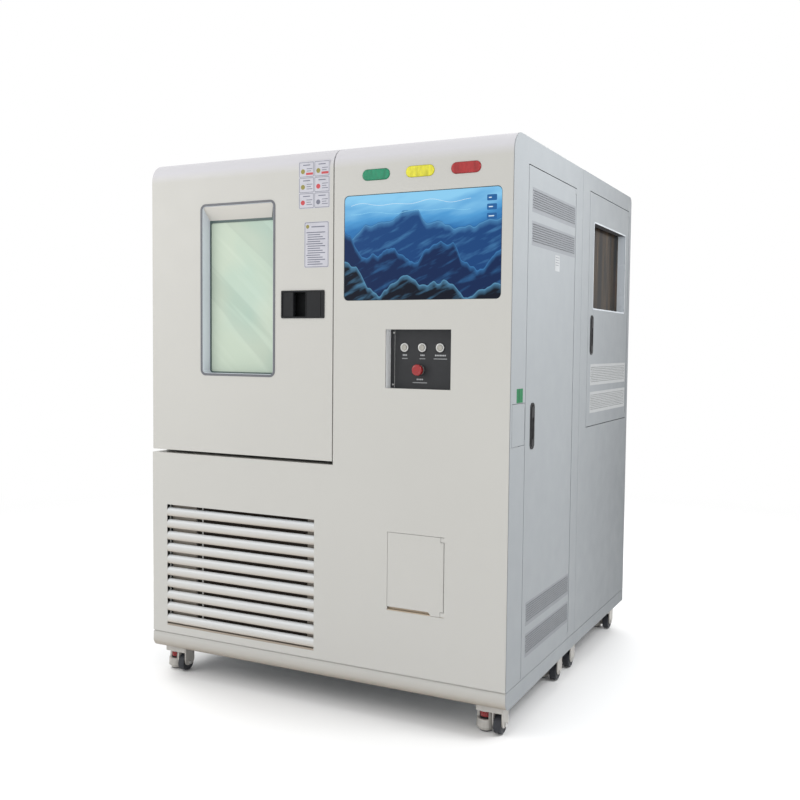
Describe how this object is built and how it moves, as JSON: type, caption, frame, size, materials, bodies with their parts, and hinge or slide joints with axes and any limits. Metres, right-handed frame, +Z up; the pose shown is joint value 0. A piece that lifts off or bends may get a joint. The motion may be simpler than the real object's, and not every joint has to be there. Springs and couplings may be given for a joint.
{
  "type": "temperature aging chamber",
  "caption": "Free-standing climate test cabinet with windowed front door, monitor, louvred intake, side service doors and levelling casters.",
  "frame": {"origin": "on the floor under the middle of the bounding box", "axes": "+X to the right seen from the front, the front faces -Y, +Z up"},
  "size_m": [1.325, 1.373, 1.75],
  "materials": {
    "front_paint": "satin powder coat, warm light grey",
    "side_paint": "satin powder coat, cool light grey",
    "frame_steel": "dark grey paint",
    "stainless": "brushed",
    "foam": "rigid insulating foam",
    "window_glass": "pale green tint",
    "dark_glass": "dark tint",
    "trim_grey": "satin",
    "black_plastic": "fine grained",
    "silicone": "soft matt",
    "lamp_lens": "gloss",
    "screen_glass": "gloss",
    "plate_grey": "anodised dark grey",
    "cream_plastic": "gloss",
    "ring_metal": "polished",
    "stop_red": "gloss",
    "tank_plastic": "natural",
    "motor_paint": "black paint",
    "fin_metal": "bare",
    "caster_metal": "light grey cast",
    "wheel_black": "dark"
  },
  "bodies": {
    "cabinet": {"base_frame": "frame_steel", "skirt_rails": "front_paint", "front_fascia": "front_paint", "intake_louvres": "front_paint", "front_cabinet_shell": "side_paint", "right_side_frame": "side_paint", "rear_cabinet_shell": "side_paint", "chamber_liner": "stainless", "chamber_insulation": "foam", "air_baffle": "stainless", "wire_shelves": "stainless", "fan_motor": "motor_paint", "evaporator_coil": "fin_metal", "condenser_coil": "fin_metal", "compressor": "motor_paint", "signal_lamps": "lamp_lens", "monitor": "screen_glass", "control_plate": "plate_grey", "button_collars": "ring_metal", "water_tank": "tank_plastic", "electrical_plate": "black_plastic"},
    "front_door": {"door_skin": "front_paint", "door_core": "foam", "door_inner_pan": "stainless", "door_gasket": "silicone", "window_rim": "trim_grey", "window_glass": "window_glass", "handle_bezel": "black_plastic"},
    "handle_paddle": {"handle_paddle": "black_plastic"},
    "filler_flap": {"filler_flap": "front_paint"},
    "side_hatch": {"side_hatch": "side_paint"},
    "side_door_front": {"side_door_front": "side_paint", "lever_seat_front": "black_plastic"},
    "swing_lever_front": {"swing_lever_front": "black_plastic"},
    "side_door_rear": {"side_door_rear": "side_paint", "rear_window": "dark_glass", "lever_seat_rear": "black_plastic"},
    "swing_lever_rear": {"swing_lever_rear": "black_plastic"},
    "push_button_1": {"push_button_1": "cream_plastic"},
    "push_button_2": {"push_button_2": "cream_plastic"},
    "push_button_3": {"push_button_3": "cream_plastic"},
    "emergency_stop": {"emergency_stop": "stop_red"},
    "circulation_fan": {"circulation_fan": "stainless"},
    "condenser_fan": {"condenser_fan": "black_plastic"},
    "caster_front_left": {"caster_front_left": "caster_metal"},
    "wheel_front_left": {"wheel_front_left": "wheel_black"},
    "caster_front_right": {"caster_front_right": "caster_metal"},
    "wheel_front_right": {"wheel_front_right": "wheel_black"},
    "caster_mid_left": {"caster_mid_left": "caster_metal"},
    "wheel_mid_left": {"wheel_mid_left": "wheel_black"},
    "caster_mid_right": {"caster_mid_right": "caster_metal"},
    "wheel_mid_right": {"wheel_mid_right": "wheel_black"},
    "caster_seam_left": {"caster_seam_left": "caster_metal"},
    "wheel_seam_left": {"wheel_seam_left": "wheel_black"},
    "caster_seam_right": {"caster_seam_right": "caster_metal"},
    "wheel_seam_right": {"wheel_seam_right": "wheel_black"},
    "caster_rear_left": {"caster_rear_left": "caster_metal"},
    "wheel_rear_left": {"wheel_rear_left": "wheel_black"},
    "caster_rear_right": {"caster_rear_right": "caster_metal"},
    "wheel_rear_right": {"wheel_rear_right": "wheel_black"}
  },
  "joints": [
    {"name": "front_door_swing", "type": "hinge", "parent": "cabinet", "child": "front_door", "pos_m": [-0.6615, -0.614, 1.265], "axis": [0, 0, -1], "range_deg": [0, 115]},
    {"name": "handle_pull", "type": "hinge", "parent": "front_door", "child": "handle_paddle", "pos_m": [-0.115, -0.6835, 1.2695], "axis": [0, 0, -1], "range_deg": [0, 25], "stiffness_Nm_per_rad": 0.8},
    {"name": "button_1_press", "type": "slide", "parent": "cabinet", "child": "push_button_1", "axis": [0, 1, 0], "range_m": [0, 0.0035], "stiffness_N_per_m": 400},
    {"name": "button_2_press", "type": "slide", "parent": "cabinet", "child": "push_button_2", "axis": [0, 1, 0], "range_m": [0, 0.0035], "stiffness_N_per_m": 400},
    {"name": "button_3_press", "type": "slide", "parent": "cabinet", "child": "push_button_3", "axis": [0, 1, 0], "range_m": [0, 0.0035], "stiffness_N_per_m": 400},
    {"name": "emergency_stop_press", "type": "slide", "parent": "cabinet", "child": "emergency_stop", "axis": [0, 1, 0], "range_m": [0, 0.004], "stiffness_N_per_m": 600},
    {"name": "filler_flap_swing", "type": "hinge", "parent": "cabinet", "child": "filler_flap", "pos_m": [0.4487, -0.6824, 0.459], "axis": [0, 0, 1], "range_deg": [0, 100]},
    {"name": "side_hatch_swing", "type": "hinge", "parent": "cabinet", "child": "side_hatch", "pos_m": [0.6499, -0.5668, 0.916], "axis": [0, 0, 1], "range_deg": [0, 100]},
    {"name": "side_door_front_swing", "type": "hinge", "parent": "cabinet", "child": "side_door_front", "pos_m": [0.6485, -0.089, 0.911], "axis": [0, 0, 1], "range_deg": [0, 110]},
    {"name": "swing_lever_front_lift", "type": "hinge", "parent": "side_door_front", "child": "swing_lever_front", "pos_m": [0.6515, -0.498, 0.963], "axis": [0, -1, 0], "range_deg": [0, 35]},
    {"name": "side_door_rear_swing", "type": "hinge", "parent": "cabinet", "child": "side_door_rear", "pos_m": [0.6485, 0.648, 1.275], "axis": [0, 0, 1], "range_deg": [0, 110]},
    {"name": "swing_lever_rear_lift", "type": "hinge", "parent": "side_door_rear", "child": "swing_lever_rear", "pos_m": [0.6515, 0.133, 1.245], "axis": [0, -1, 0], "range_deg": [0, 35]},
    {"name": "circulation_fan_spin", "type": "hinge", "parent": "cabinet", "child": "circulation_fan", "pos_m": [-0.2865, -0.085, 1.44], "axis": [0, 1, 0], "continuous": true},
    {"name": "condenser_fan_spin", "type": "hinge", "parent": "cabinet", "child": "condenser_fan", "pos_m": [-0.2955, -0.505, 0.36], "axis": [0, 1, 0], "continuous": true},
    {"name": "caster_front_left_swivel", "type": "hinge", "parent": "cabinet", "child": "caster_front_left", "pos_m": [-0.5865, -0.607, 0.06], "axis": [0, 0, 1], "continuous": true},
    {"name": "wheel_front_left_roll", "type": "hinge", "parent": "caster_front_left", "child": "wheel_front_left", "pos_m": [-0.5595, -0.625, 0.0305], "axis": [1, 0, 0], "continuous": true},
    {"name": "caster_front_right_swivel", "type": "hinge", "parent": "cabinet", "child": "caster_front_right", "pos_m": [0.5865, -0.607, 0.06], "axis": [0, 0, 1], "continuous": true},
    {"name": "wheel_front_right_roll", "type": "hinge", "parent": "caster_front_right", "child": "wheel_front_right", "pos_m": [0.6135, -0.625, 0.0305], "axis": [1, 0, 0], "continuous": true},
    {"name": "caster_mid_left_swivel", "type": "hinge", "parent": "cabinet", "child": "caster_mid_left", "pos_m": [-0.5865, -0.08, 0.06], "axis": [0, 0, 1], "continuous": true},
    {"name": "wheel_mid_left_roll", "type": "hinge", "parent": "caster_mid_left", "child": "wheel_mid_left", "pos_m": [-0.5595, -0.098, 0.0305], "axis": [1, 0, 0], "continuous": true},
    {"name": "caster_mid_right_swivel", "type": "hinge", "parent": "cabinet", "child": "caster_mid_right", "pos_m": [0.5865, -0.08, 0.06], "axis": [0, 0, 1], "continuous": true},
    {"name": "wheel_mid_right_roll", "type": "hinge", "parent": "caster_mid_right", "child": "wheel_mid_right", "pos_m": [0.6135, -0.098, 0.0305], "axis": [1, 0, 0], "continuous": true},
    {"name": "caster_seam_left_swivel", "type": "hinge", "parent": "cabinet", "child": "caster_seam_left", "pos_m": [-0.5865, 0.07, 0.06], "axis": [0, 0, 1], "continuous": true},
    {"name": "wheel_seam_left_roll", "type": "hinge", "parent": "caster_seam_left", "child": "wheel_seam_left", "pos_m": [-0.5595, 0.052, 0.0305], "axis": [1, 0, 0], "continuous": true},
    {"name": "caster_seam_right_swivel", "type": "hinge", "parent": "cabinet", "child": "caster_seam_right", "pos_m": [0.5865, 0.07, 0.06], "axis": [0, 0, 1], "continuous": true},
    {"name": "wheel_seam_right_roll", "type": "hinge", "parent": "caster_seam_right", "child": "wheel_seam_right", "pos_m": [0.6135, 0.052, 0.0305], "axis": [1, 0, 0], "continuous": true},
    {"name": "caster_rear_left_swivel", "type": "hinge", "parent": "cabinet", "child": "caster_rear_left", "pos_m": [-0.5865, 0.61, 0.06], "axis": [0, 0, 1], "continuous": true},
    {"name": "wheel_rear_left_roll", "type": "hinge", "parent": "caster_rear_left", "child": "wheel_rear_left", "pos_m": [-0.5595, 0.592, 0.0305], "axis": [1, 0, 0], "continuous": true},
    {"name": "caster_rear_right_swivel", "type": "hinge", "parent": "cabinet", "child": "caster_rear_right", "pos_m": [0.5865, 0.61, 0.06], "axis": [0, 0, 1], "continuous": true},
    {"name": "wheel_rear_right_roll", "type": "hinge", "parent": "caster_rear_right", "child": "wheel_rear_right", "pos_m": [0.6135, 0.592, 0.0305], "axis": [1, 0, 0], "continuous": true}
  ]
}
